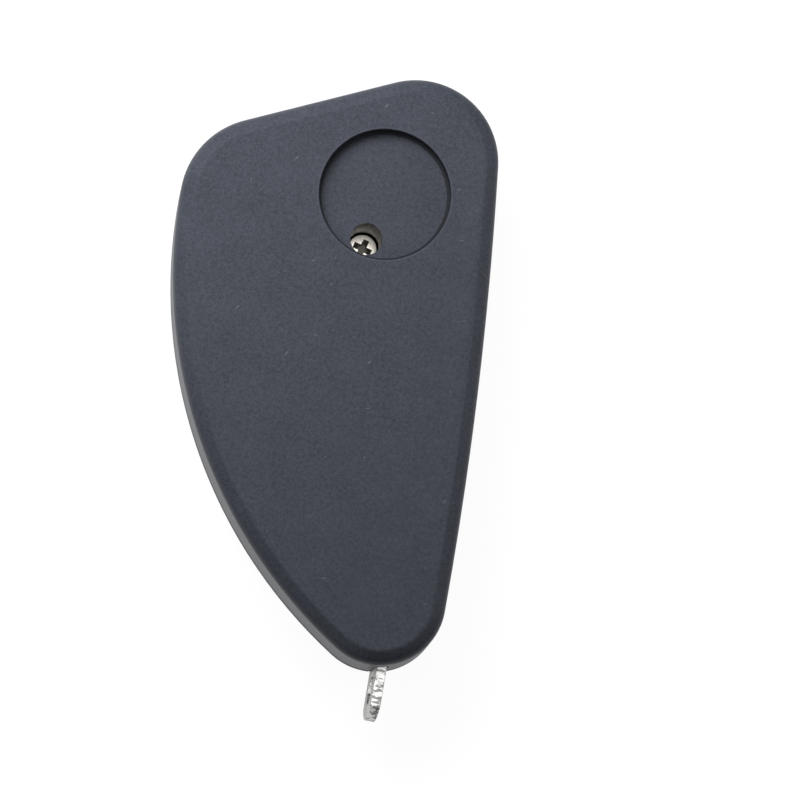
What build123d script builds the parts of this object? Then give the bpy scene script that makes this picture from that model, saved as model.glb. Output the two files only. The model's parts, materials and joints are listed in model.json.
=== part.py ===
"""Flip key remote: a car key blade that folds into a two-part case with its radio remote.

The case lies on its front face, where the keys are, with its back up. +Z points out of the back,
+Y the way the opened blade points, and the origin is under the middle of the whole key, on the
surface that it lies on. Sketches are drawn about the blade's pivot, which is the centre of the
case's top right corner seen from the back. All sizes are in millimetres.
"""

from build123d import *
import os
from math import acos, atan2, cos, degrees, radians, sin, sqrt

os.makedirs("parts", exist_ok=True)

# Case outline, seen from the back
case_length = 75.0
pivot_corner_radius = 10.5
crown_corner_x = -18.1
crown_corner_y = -8.2
crown_corner_radius = 11.0
tip_corner_x = 3.3
tip_corner_radius = 8.3
left_side_radius = 64.0
right_side_radius = 483.0

# Case thickness and walls
case_height = 14.5
parting_z = 5.0
back_plate = 1.5
back_wall = 1.6
front_plate = 1.5
front_wall = 1.9
bevel_width = 1.7
bevel_drop = 1.1
shoulder_round = 1.7
brow_round = 1.0
front_edge_round = 3.4
parting_groove = 0.2
cavity_round = 1.2
flatness = 0.0001

# Badge recess and case screw
recess_x = -3.4
recess_y = -5.15
recess_radius = 8.4
recess_depth = 1.6
recess_skin = 1.2
recess_rim_round = 0.15
screw_x = -4.9
screw_y = -10.9
screw_hole_radius = 2.05
screw_tube_wall = 1.2
screw_tube_gap = 0.1
screw_seat_z = 3.3
screw_seat_floor = 0.7
screw_head_radius = 1.75
screw_head_height = 1.5
screw_head_round = 0.35
screw_radius = 1.0
screw_length = 2.7
screw_clearance = 0.15
screw_pilot_clearance = 0.02
screw_boss_wall = 2.3
driver_slot_width = 0.6
driver_slot_length = 2.3
driver_slot_depth = 0.8
driver_slot_turn = 71.0

# Blade, carrier and slot
blade_offset = 5.5
blade_width = 8.0
blade_thickness = 2.2
blade_groove_width = 2.2
blade_groove_depth = 0.5
blade_point = 2.4
tang_gap = 0.8
barrel_radius = 7.8
barrel_clearance = 0.05
barrel_ceiling = 1.5
barrel_floor_gap = 0.1
barrel_top_gap = 0.2
ring_wall = 1.75
arm_cheek = 1.0
arm_side = 0.6
arm_length = 17.0
arm_shoulder = 2.5
arm_round = 2.4
arm_gap = 0.2
tang_clearance = 0.05
pin_radius = 0.8
pin_clearance = 0.02
slot_end_gap = 0.5
slot_stop_gap = 0.3
channel_gap = 0.4
partition_wall = 1.2
channel_floor = 1.0
channel_rib = 1.0
blade_rest_width = 1.2
blade_rest_gap = 0.2
blade_rest_places = (0.45, 0.8)

# Release button and its spring
button_radius = 5.6
button_clearance = 0.1
button_sink = 0.3
button_skirt_radius = 6.05
button_bore_clearance = 0.05
button_floor = 1.5
button_height = 5.2
button_wall = 1.2
button_round = 0.5
button_travel = 2.5
key_lug_width = 1.6
key_lug_reach = 0.85
key_lug_height = 2.5
key_lug_clearance = 0.1
key_lug_end_gap = 0.4
spring_wire = 0.8
spring_turns = 6
spring_radius = 4.2
spring_end_gap = 0.02
post_radius = 2.6
post_length = 3.2
post_slot = 0.9
post_clearance = 0.6

# Key-ring eyelet, a stamped plate that stands on edge in the case's tip, a little tilted
eyelet_x = 4.6
eyelet_z = 6.4
eyelet_lean = -1.6
eyelet_tilt = 3.3
eyelet_thickness = 1.3
eyelet_height = 7.4
eyelet_reach = 6.6
eyelet_bulge = 1.6
eyelet_round = 1.0
eyelet_hole_radius = 2.1
eyelet_hole_margin = 2.0
shoulder_rise = 0.9
shoulder_start = 2.1
shoulder_length = 3.2
eyelet_clearance = 0.25
eyelet_pocket_wall = 0.9
blade_tip_gap = 0.9

# Keys on the front, in a row from the screw's boss to the tip
lock_key_x = -8.4
lock_key_length = 14.0
unlock_key_x = -8.0
unlock_key_length = 14.0
boot_key_x = -6.6
boot_key_length = 12.0
key_web = 1.3
key_tip_room = 10.9
key_sink = 0.25
key_gap = 0.12
key_round = 0.4
key_flange = 0.8
key_flange_thickness = 0.6
key_flange_gap = 0.1
key_travel = 0.5
mat_gap = 0.1
mat_boss_gap = 0.4
mat_rib_gap = 0.3
mat_thickness = 0.6
mat_rim = 1.2
mat_pad_radius = 2.0
mat_pad_height = 0.5

# Circuit board and what stands on it
board_lift = 0.2
board_thickness = 1.0
board_inset = 2.8
board_gap = 0.3
board_top_y = -5.0
board_end_gap = 4.0
lip_clearance = 0.1
lip_thickness = 0.8
lip_height = 1.2
ledge_width = 1.9
switch_size = 4.4
switch_height = 1.2
plunger_radius = 1.0
plunger_clearance = 0.05
plunger_depth = 0.3
plunger_end_gap = 0.15
cell_radius = 10.0
cell_height = 3.2
cell_lift = 1.0
cell_side_gap = 2.2
cell_cap_step = 1.2
cell_round = 0.3
contact_sheet = 0.3
contact_width = 5.0
contact_gap = 0.6
contact_foot = 1.5
arch_half_length = 5.0
arch_foot = 2.0
arch_crown = 1.2
hold_rib_gap = 0.1
hold_rib_width = 0.8
hold_rib_length = 9.0
chip_side_gap = 3.5
chip_end_gap = 3.3
chip_size = 5.0
chip_height = 0.9
resonator_side_gap = 2.1
resonator_end_gap = 5.0
resonator_length = 5.0
resonator_width = 2.4
resonator_height = 1.5
transponder_crown_x = -1.4
transponder_crown_y = 0.7
transponder_length = 10.0
transponder_width = 5.0
transponder_height = 2.4
transponder_clearance = 0.15
transponder_wall = 0.8
transponder_pocket = 1.4


def heading(way):
    """Direction of a vector in the plane, in degrees from +X, 0 to 360."""
    return degrees(atan2(way.Y, way.X)) % 360


def polar(radius, angle):
    """Vector of a length and a heading in degrees."""
    return Vector(radius * cos(radians(angle)), radius * sin(radians(angle)))


def arc_centre(first, first_radius, second, second_radius, radius):
    """Centre of the large arc that touches two corner circles from outside them.

    It lies to the left of the way from the first circle to the second.
    """
    way = second - first
    near = radius - first_radius
    far = radius - second_radius
    along = (near**2 - far**2 + way.length**2) / (2 * way.length)
    across = sqrt(near**2 - along**2)
    unit = way.normalized()
    return first + unit * along + Vector(-unit.Y, unit.X) * across


# Corners, side arcs and where each arc meets the next
pivot_corner = Vector(0, 0)
crown_corner = Vector(crown_corner_x, crown_corner_y)
tip_corner = Vector(tip_corner_x, pivot_corner_radius + tip_corner_radius - case_length)
left_centre = arc_centre(
    crown_corner, crown_corner_radius, tip_corner, tip_corner_radius, left_side_radius
)
right_centre = arc_centre(
    tip_corner, tip_corner_radius, pivot_corner, pivot_corner_radius, right_side_radius
)
top_way = pivot_corner - crown_corner
top_lean = degrees(acos((crown_corner_radius - pivot_corner_radius) / top_way.length))
top_heading = heading(top_way) + top_lean
left_top_heading = heading(crown_corner - left_centre)
left_low_heading = heading(tip_corner - left_centre)
right_low_heading = heading(tip_corner - right_centre)
right_top_heading = heading(pivot_corner - right_centre) + 360

# Eyelet: where it leaves the tip, and the way it points
eyelet_way = Vector(sin(radians(eyelet_lean)), -cos(radians(eyelet_lean)))
eyelet_side = Vector(-cos(radians(eyelet_lean)), -sin(radians(eyelet_lean)))
tip_drop = sqrt(tip_corner_radius**2 - (eyelet_x - tip_corner_x) ** 2)
eyelet_root = Vector(eyelet_x, tip_corner.Y - tip_drop)
eyelet_end_y = (
    eyelet_root.Y + eyelet_way.Y * eyelet_reach - abs(eyelet_side.Y) * eyelet_thickness / 2
)

# Place of the pivot, so that the origin is under the middle of the whole key
case_right = right_centre.X + right_side_radius
case_left = left_centre.X - left_side_radius
pivot_x = -(case_left + case_right) / 2
pivot_y = -(pivot_corner_radius + eyelet_end_y) / 2


def level(height):
    """Horizontal sketch plane at a height, with its origin on the blade's pivot."""
    return Plane(origin=(pivot_x, pivot_y, height))


def case_outline(inset=0.0, mode=Mode.ADD):
    """Draw the case's outline as a face, moved inwards all round by an inset."""
    pivot_radius = pivot_corner_radius - inset
    crown_radius = crown_corner_radius - inset
    with BuildLine() as outline:
        CenterArc(
            pivot_corner, pivot_radius, right_top_heading, top_heading + 360 - right_top_heading
        )
        Line(
            pivot_corner + polar(pivot_radius, top_heading),
            crown_corner + polar(crown_radius, top_heading),
        )
        CenterArc(crown_corner, crown_radius, top_heading, left_top_heading - top_heading)
        CenterArc(
            left_centre,
            left_side_radius - inset,
            left_top_heading,
            left_low_heading - left_top_heading,
        )
        CenterArc(
            tip_corner,
            tip_corner_radius - inset,
            left_low_heading,
            right_low_heading - left_low_heading,
        )
        CenterArc(
            right_centre,
            right_side_radius - inset,
            right_low_heading,
            right_top_heading - right_low_heading,
        )
    make_face(outline.edges(), mode=mode)


def block(left, right, bottom, top, mode=Mode.ADD):
    """Draw a rectangle from its four sides."""
    with Locations(((left + right) / 2, (bottom + top) / 2)):
        Rectangle(right - left, top - bottom, mode=mode)


def flat_edges(moulding, height):
    """Edges of a moulding that lie flat at one height."""
    found = [edge for edge in moulding.edges() if edge.bounding_box().size.Z < flatness]
    return [edge for edge in found if abs(edge.center().Z - height) < flatness]


# Heights
board_z = parting_z + board_lift
inner_back_z = case_height - back_plate
recess_floor_z = case_height - recess_depth
pad_z = recess_floor_z - recess_skin
screw_tube_z = screw_seat_z - screw_seat_floor
arm_z = parting_z + arm_gap
arm_thickness = blade_thickness + 2 * tang_clearance + 2 * arm_cheek
arm_top_z = arm_z + arm_thickness
slot_top_z = arm_top_z + arm_gap
blade_z = arm_z + arm_cheek + tang_clearance
barrel_z = front_plate + barrel_floor_gap
barrel_top_z = pad_z - barrel_top_gap
barrel_ceiling_z = barrel_top_z - barrel_ceiling
button_cup_z = button_sink + button_floor
button_skirt_z = front_plate + key_flange_gap
button_bore_radius = button_skirt_radius + button_bore_clearance
lug_slot_top_z = button_sink + button_height + button_travel + key_lug_end_gap
board_top_z = board_z + board_thickness
switch_z = board_z - switch_height
cell_z = board_top_z + cell_lift
cell_top_z = cell_z + cell_height
flange_z = front_plate + key_flange_gap
flange_top_z = flange_z + key_flange_thickness
mat_z = flange_top_z + mat_gap
mat_top_z = mat_z + mat_thickness
mat_pad_z = mat_top_z + mat_pad_height
eyelet_spread = (eyelet_height / 2 + shoulder_rise) * sin(radians(eyelet_tilt))

# Places across the case
screw_tube_radius = screw_hole_radius + screw_tube_wall
screw_boss_radius = screw_radius + screw_boss_wall
journal_radius = barrel_radius + barrel_clearance
ring_radius = journal_radius + ring_wall
blade_root_y = -(barrel_radius + tang_gap)
pin_y = (blade_root_y - arm_length) / 2
arm_left = blade_offset - blade_width / 2 - arm_side
arm_right = blade_offset + blade_width / 2 + arm_side
channel_left = arm_left - channel_gap
partition_left = channel_left - partition_wall
board_right = partition_left - board_gap
slot_crown_x = -(arm_right + slot_stop_gap)
pocket_inner_y = eyelet_root.Y + shoulder_start + shoulder_length + eyelet_pocket_wall
blade_tip_y = pocket_inner_y + blade_tip_gap
slot_end_y = blade_tip_y - slot_end_gap
cell_x = board_right - cell_side_gap - cell_radius
cell_y = screw_y - screw_tube_radius - cell_radius
board_notch_x = -max(ring_radius, screw_tube_radius - screw_x) - board_gap
board_notch_y = screw_y - screw_boss_radius - board_gap
board_end_y = pocket_inner_y + board_end_gap
resonator_x = board_right - resonator_side_gap - resonator_length / 2
resonator_y = board_end_y + resonator_end_gap + resonator_width / 2
chip_x = board_right - chip_side_gap - chip_size / 2
chip_y = resonator_y + resonator_width / 2 + chip_end_gap + chip_size / 2
transponder_x = crown_corner_x + transponder_crown_x
transponder_y = crown_corner_y + transponder_crown_y
mat_edge = key_flange + mat_gap + mat_rim
mat_top_y = screw_y - screw_boss_radius - mat_boss_gap
keys = (
    ("lock", lock_key_x, lock_key_length),
    ("unlock", unlock_key_x, unlock_key_length),
    ("boot", boot_key_x, boot_key_length),
)
key_row_top = mat_top_y - mat_edge
key_row_low = tip_corner.Y + key_tip_room
key_space = 2 * key_flange + key_web
key_width = (key_row_top - key_row_low + key_space) / len(keys) - key_space
key_pitch = key_width + key_space
key_places = [
    (key_name, key_x, key_row_top - key_width / 2 - number * key_pitch, key_length)
    for number, (key_name, key_x, key_length) in enumerate(keys)
]
mat_left = min(place[1] - place[3] / 2 for place in key_places) - mat_edge
mat_right = max(place[1] + place[3] / 2 for place in key_places) + mat_edge
mat_low_y = key_places[-1][2] - key_width / 2 - mat_edge
channel_rib_x = mat_right + mat_rib_gap
blade_rest_ys = [
    -arm_length + (blade_tip_y + arm_length) * place for place in blade_rest_places
]
beyond = case_length


def eyelet_level(height):
    """Horizontal sketch plane whose X runs out along the eyelet, from where it leaves the tip."""
    return Plane(
        origin=(pivot_x + eyelet_root.X, pivot_y + eyelet_root.Y, height),
        x_dir=eyelet_way,
        z_dir=(0, 0, 1),
    )


# Plane through the middle of the eyelet's thickness, X outwards and Y up, tilted with the plate
eyelet_plane = Plane(
    origin=(pivot_x + eyelet_root.X, pivot_y + eyelet_root.Y, eyelet_z),
    x_dir=eyelet_way,
    z_dir=eyelet_side + Vector(0, 0, sin(radians(eyelet_tilt))),
)


def eyelet_profile():
    """Draw the eyelet's outline: a tongue with a bulging end, and taller shoulders in the case."""
    half = eyelet_height / 2
    inner_x = -shoulder_start - shoulder_length
    corner_x = eyelet_reach - eyelet_bulge
    with BuildSketch(mode=Mode.PRIVATE) as tongue:
        with BuildLine() as outline:
            Polyline((corner_x, half), (inner_x, half), (inner_x, -half), (corner_x, -half))
            ThreePointArc((corner_x, -half), (eyelet_reach, 0), (corner_x, half))
        make_face(outline.edges())
        fillet(tongue.vertices().group_by(Axis.X)[-1], eyelet_round)
    add(tongue.sketch)
    block(inner_x, -shoulder_start, -half - shoulder_rise, half + shoulder_rise)


def eyelet_pocket(low, high):
    """Add the block in the tip that holds the eyelet's shoulders, between two heights."""
    reach_in = shoulder_start + shoulder_length + eyelet_pocket_wall
    half_width = eyelet_thickness / 2 + eyelet_spread + eyelet_clearance + eyelet_pocket_wall
    with BuildSketch(eyelet_level(low)) as pocket:
        block(-reach_in, -back_wall / 2, -half_width, half_width)
    extrude(pocket.sketch, amount=high - low)


def cut_eyelet_room():
    """Cut the room for the eyelet, with its clearance all round."""
    half_width = eyelet_thickness / 2 + eyelet_clearance
    with BuildSketch(eyelet_plane) as room:
        eyelet_profile()
        offset(amount=eyelet_clearance)
    extrude(room.sketch, amount=half_width, both=True, mode=Mode.SUBTRACT)


# Back cover: the moulding with the bevelled back, badge recess and side slot for the blade
with BuildPart() as back_cover:
    with BuildSketch(level(parting_z)):
        case_outline()
    extrude(amount=case_height - parting_z)
    back_face = back_cover.faces().sort_by(Axis.Z)[-1]
    chamfer(back_face.edges(), length=bevel_width, length2=bevel_drop, reference=back_face)
    back_face = back_cover.faces().sort_by(Axis.Z)[-1]
    fillet(back_face.edges(), brow_round)
    fillet(flat_edges(back_cover, case_height - bevel_drop), shoulder_round)
    with BuildSketch(level(parting_z)):
        case_outline(back_wall)
    extrude(amount=inner_back_z - parting_z, mode=Mode.SUBTRACT)
    fillet(flat_edges(back_cover, inner_back_z), cavity_round)
    with BuildSketch(level(pad_z)):
        with Locations((recess_x, recess_y)):
            Circle(recess_radius + recess_skin)
    extrude(amount=inner_back_z - pad_z)
    with BuildSketch(level(slot_top_z)):
        Circle(ring_radius)
    extrude(amount=inner_back_z - slot_top_z)
    with BuildSketch(level(slot_top_z)):
        Circle(journal_radius)
    extrude(amount=pad_z - slot_top_z, mode=Mode.SUBTRACT)
    with BuildSketch(level(pad_z - post_length)):
        Circle(post_radius)
        Rectangle(post_slot, 2 * post_radius, mode=Mode.SUBTRACT)
    extrude(amount=post_length)
    with BuildSketch(level(screw_tube_z)):
        with Locations((screw_x, screw_y)):
            Circle(screw_tube_radius)
    extrude(amount=inner_back_z - screw_tube_z)
    with BuildSketch(level(parting_z + arm_gap)):
        block(partition_left, channel_left, -beyond, -arm_length)
        case_outline(back_wall / 2, mode=Mode.INTERSECT)
    extrude(amount=inner_back_z - parting_z - arm_gap)
    with BuildSketch(level(slot_top_z)):
        block(blade_offset - channel_rib / 2, blade_offset + channel_rib / 2, slot_end_y, 0)
        for rest_y in blade_rest_ys:
            block(channel_left, beyond, rest_y - channel_rib / 2, rest_y + channel_rib / 2)
        case_outline(back_wall / 2, mode=Mode.INTERSECT)
        Circle(journal_radius, mode=Mode.SUBTRACT)
    extrude(amount=inner_back_z - slot_top_z)
    with BuildSketch(level(cell_top_z + contact_sheet + hold_rib_gap)):
        with Locations((cell_x, cell_y)):
            Rectangle(hold_rib_width, hold_rib_length)
            Rectangle(hold_rib_length, hold_rib_width)
    extrude(amount=inner_back_z - cell_top_z - contact_sheet - hold_rib_gap)
    with BuildSketch(level(inner_back_z - transponder_pocket)):
        with Locations((transponder_x, transponder_y)):
            pocket_length = transponder_length + 2 * transponder_clearance
            pocket_width = transponder_width + 2 * transponder_clearance
            Rectangle(pocket_length + 2 * transponder_wall, pocket_width + 2 * transponder_wall)
            Rectangle(pocket_length, pocket_width, mode=Mode.SUBTRACT)
    extrude(amount=transponder_pocket)
    eyelet_pocket(parting_z, inner_back_z)
    cut_eyelet_room()
    with BuildSketch(level(parting_z)):
        block(channel_left, beyond, slot_end_y, beyond)
        block(slot_crown_x, beyond, 0, beyond)
    extrude(amount=slot_top_z - parting_z, mode=Mode.SUBTRACT)
    with BuildSketch(level(recess_floor_z)):
        with Locations((recess_x, recess_y)):
            Circle(recess_radius)
    extrude(amount=recess_depth, mode=Mode.SUBTRACT)
    recess_rim = back_cover.edges().filter_by(GeomType.CIRCLE).sort_by(Axis.Z)[-1]
    fillet(recess_rim, recess_rim_round)
    with BuildSketch(level(screw_seat_z)):
        with Locations((screw_x, screw_y)):
            Circle(screw_hole_radius)
    extrude(amount=case_height - screw_seat_z, mode=Mode.SUBTRACT)
    with BuildSketch(level(screw_tube_z)):
        with Locations((screw_x, screw_y)):
            Circle(screw_radius + screw_clearance)
    extrude(amount=screw_seat_floor, mode=Mode.SUBTRACT)
back_cover.part.label = "back_cover"
export_step(back_cover.part, "parts/back_cover.step")

# Front cover: the dished moulding with the key windows, which the case lies on
with BuildPart() as front_cover:
    with BuildSketch(level(0)):
        case_outline()
    extrude(amount=parting_z)
    fillet(front_cover.faces().sort_by(Axis.Z)[0].edges(), front_edge_round)
    chamfer(front_cover.faces().sort_by(Axis.Z)[-1].edges(), parting_groove)
    with BuildSketch(level(front_plate)):
        case_outline(front_wall)
    extrude(amount=parting_z - front_plate, mode=Mode.SUBTRACT)
    fillet(flat_edges(front_cover, front_plate), cavity_round)
    with BuildSketch(level(front_plate)):
        case_outline(back_wall + lip_clearance)
        case_outline(back_wall + lip_clearance + ledge_width, mode=Mode.SUBTRACT)
        with BuildSketch(mode=Mode.PRIVATE) as ledge_run:
            block(-beyond, partition_left, -beyond, -arm_length)
            block(-beyond, slot_crown_x - board_gap, -beyond, beyond)
        add(ledge_run.sketch, mode=Mode.INTERSECT)
    extrude(amount=board_z - front_plate)
    with BuildSketch(level(front_plate)):
        case_outline(back_wall + lip_clearance)
        case_outline(back_wall + lip_clearance + lip_thickness, mode=Mode.SUBTRACT)
        with BuildSketch(mode=Mode.PRIVATE) as lip_run:
            block(-beyond, partition_left - board_gap, -beyond, -arm_length)
            block(-beyond, slot_crown_x - board_gap, -beyond, beyond)
        add(lip_run.sketch, mode=Mode.INTERSECT)
    extrude(amount=parting_z + lip_height - front_plate)
    with BuildSketch(level(front_plate)):
        Circle(ring_radius)
    extrude(amount=parting_z - front_plate)
    with BuildSketch(level(screw_tube_z)):
        with Locations((screw_x, screw_y)):
            Circle(screw_tube_radius + screw_tube_gap)
    extrude(amount=parting_z - screw_tube_z, mode=Mode.SUBTRACT)
    with BuildSketch(level(front_plate)):
        with Locations((screw_x, screw_y)):
            Circle(screw_boss_radius)
    extrude(amount=screw_tube_z - front_plate)
    with BuildSketch(level(parting_z - channel_floor)):
        block(partition_left, beyond, pocket_inner_y, 0)
        case_outline(front_wall / 2, mode=Mode.INTERSECT)
    extrude(amount=channel_floor)
    with BuildSketch(level(front_plate)):
        block(channel_rib_x, channel_rib_x + channel_rib, pocket_inner_y, -ring_radius)
    extrude(amount=parting_z - front_plate)
    with BuildSketch(level(parting_z)):
        for rest_y in blade_rest_ys:
            block(
                channel_left + arm_side,
                blade_offset + blade_width / 2,
                rest_y - blade_rest_width / 2,
                rest_y + blade_rest_width / 2,
            )
    extrude(amount=blade_z - blade_rest_gap - parting_z)
    eyelet_pocket(front_plate, parting_z)
    cut_eyelet_room()
    with BuildSketch(level(front_plate)):
        Circle(journal_radius)
    extrude(amount=parting_z - front_plate, mode=Mode.SUBTRACT)
    with BuildSketch(level(0)):
        Circle(button_radius + button_clearance)
        for key_name, key_x, key_y, key_length in key_places:
            with Locations((key_x, key_y)):
                SlotOverall(key_length + 2 * key_gap, key_width + 2 * key_gap)
    extrude(amount=front_plate, mode=Mode.SUBTRACT)
    with BuildSketch(level(screw_seat_z - screw_length - screw_clearance)):
        with Locations((screw_x, screw_y)):
            Circle(screw_radius + screw_pilot_clearance)
    extrude(amount=screw_length + screw_clearance, mode=Mode.SUBTRACT)
front_cover.part.label = "front_cover"
export_step(front_cover.part, "parts/front_cover.step")

# Blade carrier: the barrel that turns in both covers, with the arm that grips the blade
with BuildPart() as blade_carrier:
    with BuildSketch(level(barrel_z)):
        Circle(barrel_radius)
    extrude(amount=barrel_top_z - barrel_z)
    with BuildSketch(level(arm_z)):
        with BuildSketch(mode=Mode.PRIVATE) as arm:
            block(arm_left, arm_right, -arm_length, arm_shoulder)
            fillet(arm.vertices().group_by(Axis.Y)[-1].sort_by(Axis.X)[-1], arm_round)
        add(arm.sketch)
    extrude(amount=arm_thickness)
    with BuildSketch(level(barrel_z)):
        Circle(button_bore_radius)
    extrude(amount=barrel_ceiling_z - barrel_z, mode=Mode.SUBTRACT)
    with BuildSketch(level(barrel_z)):
        Rectangle(
            key_lug_width + 2 * key_lug_clearance,
            2 * (button_skirt_radius + key_lug_reach + key_lug_clearance),
        )
    extrude(amount=lug_slot_top_z - barrel_z, mode=Mode.SUBTRACT)
    with BuildSketch(level(barrel_ceiling_z)):
        Circle(post_radius + post_clearance)
    extrude(amount=barrel_ceiling, mode=Mode.SUBTRACT)
    with BuildSketch(level(blade_z - tang_clearance)):
        block(
            blade_offset - blade_width / 2 - tang_clearance,
            blade_offset + blade_width / 2 + tang_clearance,
            -beyond,
            blade_root_y + tang_clearance,
        )
    extrude(amount=blade_thickness + 2 * tang_clearance, mode=Mode.SUBTRACT)
    with BuildSketch(level(arm_z)):
        with Locations((blade_offset, pin_y)):
            Circle(pin_radius + pin_clearance)
    extrude(amount=arm_thickness, mode=Mode.SUBTRACT)
blade_carrier.part.label = "blade_carrier"
export_step(blade_carrier.part, "parts/blade_carrier.step")

# Key blade: an uncut blank with a groove along each face and a pointed tip
with BuildPart() as key_blade:
    with BuildSketch(level(blade_z)) as blade_plan:
        block(
            blade_offset - blade_width / 2,
            blade_offset + blade_width / 2,
            blade_tip_y,
            blade_root_y,
        )
        chamfer(blade_plan.vertices().group_by(Axis.Y)[0], blade_point)
        with Locations((blade_offset, pin_y)):
            Circle(pin_radius + pin_clearance, mode=Mode.SUBTRACT)
    extrude(amount=blade_thickness)
    for groove_z in (blade_z, blade_z + blade_thickness - blade_groove_depth):
        with BuildSketch(level(groove_z)):
            block(
                blade_offset - blade_groove_width / 2,
                blade_offset + blade_groove_width / 2,
                -beyond,
                -arm_length - arm_side,
            )
        extrude(amount=blade_groove_depth, mode=Mode.SUBTRACT)
key_blade.part.label = "key_blade"
export_step(key_blade.part, "parts/key_blade.step")

# Blade pin: the cross pin that fixes the blade in the carrier's arm
with BuildPart() as blade_pin:
    with BuildSketch(level(arm_z)):
        with Locations((blade_offset, pin_y)):
            Circle(pin_radius)
    extrude(amount=arm_thickness)
blade_pin.part.label = "blade_pin"
export_step(blade_pin.part, "parts/blade_pin.step")

# Release button: a cup in the barrel, keyed to it by two lugs, with its face in the front cover
with BuildPart() as release_button:
    with BuildSketch(level(button_sink)):
        Circle(button_radius)
    extrude(amount=button_height)
    fillet(release_button.faces().sort_by(Axis.Z)[0].edges(), button_round)
    with BuildSketch(level(button_skirt_z)):
        Circle(button_skirt_radius)
    extrude(amount=button_sink + button_height - button_skirt_z)
    with BuildSketch(level(button_sink + button_height - key_lug_height)):
        Rectangle(key_lug_width, 2 * (button_skirt_radius + key_lug_reach))
    extrude(amount=key_lug_height)
    with BuildSketch(level(button_cup_z)):
        Circle(button_skirt_radius - button_wall)
    extrude(amount=button_height, mode=Mode.SUBTRACT)
release_button.part.label = "release_button"
export_step(release_button.part, "parts/release_button.step")

# Flip spring: a coil between the button's cup and the barrel's ceiling
spring_height = barrel_ceiling_z - button_cup_z - spring_wire - 2 * spring_end_gap
with BuildPart() as flip_spring:
    with BuildLine() as coil:
        Helix(
            pitch=spring_height / spring_turns,
            height=spring_height,
            radius=spring_radius,
            center=(pivot_x, pivot_y, button_cup_z + spring_wire / 2 + spring_end_gap),
        )
    with BuildSketch(Plane(origin=coil.wire() @ 0, z_dir=coil.wire() % 0)):
        Circle(spring_wire / 2)
    sweep(path=coil.wire(), is_frenet=True)
flip_spring.part.label = "flip_spring"
export_step(flip_spring.part, "parts/flip_spring.step")

# Keys: three caps with flanges behind their windows
for key_name, key_x, key_y, key_length in key_places:
    with BuildPart() as key_cap:
        with BuildSketch(level(key_sink)):
            with Locations((key_x, key_y)):
                SlotOverall(key_length, key_width)
        extrude(amount=flange_z - key_sink)
        fillet(key_cap.faces().sort_by(Axis.Z)[0].edges(), key_round)
        with BuildSketch(level(flange_z)):
            with Locations((key_x, key_y)):
                SlotOverall(key_length + 2 * key_flange, key_width + 2 * key_flange)
        extrude(amount=key_flange_thickness)
    key_cap.part.label = f"{key_name}_key"
    export_step(key_cap.part, f"parts/{key_name}_key.step")

# Key mat: one rubber sheet behind the keys, with a rim on the front plate and a pad at each switch
with BuildPart() as key_mat:
    with BuildSketch(level(front_plate)):
        with BuildSketch(mode=Mode.PRIVATE) as mat_plan:
            block(mat_left, mat_right, mat_low_y, mat_top_y)
            case_outline(back_wall + lip_clearance + ledge_width + board_gap, mode=Mode.INTERSECT)
        add(mat_plan.sketch)
    extrude(amount=mat_top_z - front_plate)
    with BuildSketch(level(front_plate)):
        add(mat_plan.sketch)
        offset(amount=-mat_rim, mode=Mode.REPLACE)
    extrude(amount=mat_z - front_plate, mode=Mode.SUBTRACT)
    with BuildSketch(level(mat_top_z)):
        for key_name, key_x, key_y, key_length in key_places:
            with Locations((key_x, key_y)):
                Circle(mat_pad_radius)
    extrude(amount=mat_pad_height)
key_mat.part.label = "key_mat"
export_step(key_mat.part, "parts/key_mat.step")

# Circuit board: it lies on the front cover's ledge, beside the blade's channel
with BuildPart() as circuit_board:
    with BuildSketch(level(board_z)):
        block(-beyond, board_right, board_end_y, board_notch_y)
        block(-beyond, board_notch_x, board_end_y, board_top_y)
        case_outline(board_inset, mode=Mode.INTERSECT)
    extrude(amount=board_thickness)
circuit_board.part.label = "circuit_board"
export_step(circuit_board.part, "parts/circuit_board.step")

# Switches under the board, one for each key, and their plungers
for key_name, key_x, key_y, key_length in key_places:
    with BuildPart() as key_switch:
        with BuildSketch(level(switch_z)):
            with Locations((key_x, key_y)):
                Rectangle(switch_size, switch_size)
        extrude(amount=switch_height)
        with BuildSketch(level(switch_z)):
            with Locations((key_x, key_y)):
                Circle(plunger_radius + plunger_clearance)
        extrude(amount=plunger_depth + key_travel + plunger_end_gap, mode=Mode.SUBTRACT)
    key_switch.part.label = f"{key_name}_switch"
    export_step(key_switch.part, f"parts/{key_name}_switch.step")
    with BuildPart() as switch_plunger:
        with BuildSketch(level(mat_pad_z)):
            with Locations((key_x, key_y)):
                Circle(plunger_radius)
        extrude(amount=switch_z + plunger_depth - mat_pad_z)
    switch_plunger.part.label = f"{key_name}_plunger"
    export_step(switch_plunger.part, f"parts/{key_name}_plunger.step")

# Coin cell, with its smaller cap facing the board
with BuildPart() as coin_cell:
    with BuildSketch(level(cell_z)):
        with Locations((cell_x, cell_y)):
            Circle(cell_radius - cell_cap_step)
    extrude(amount=cell_round)
    with BuildSketch(level(cell_z + cell_round)):
        with Locations((cell_x, cell_y)):
            Circle(cell_radius)
    extrude(amount=cell_height - cell_round)
    fillet(coin_cell.faces().sort_by(Axis.Z)[-1].edges(), cell_round)
coin_cell.part.label = "coin_cell"
export_step(coin_cell.part, "parts/coin_cell.step")

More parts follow.
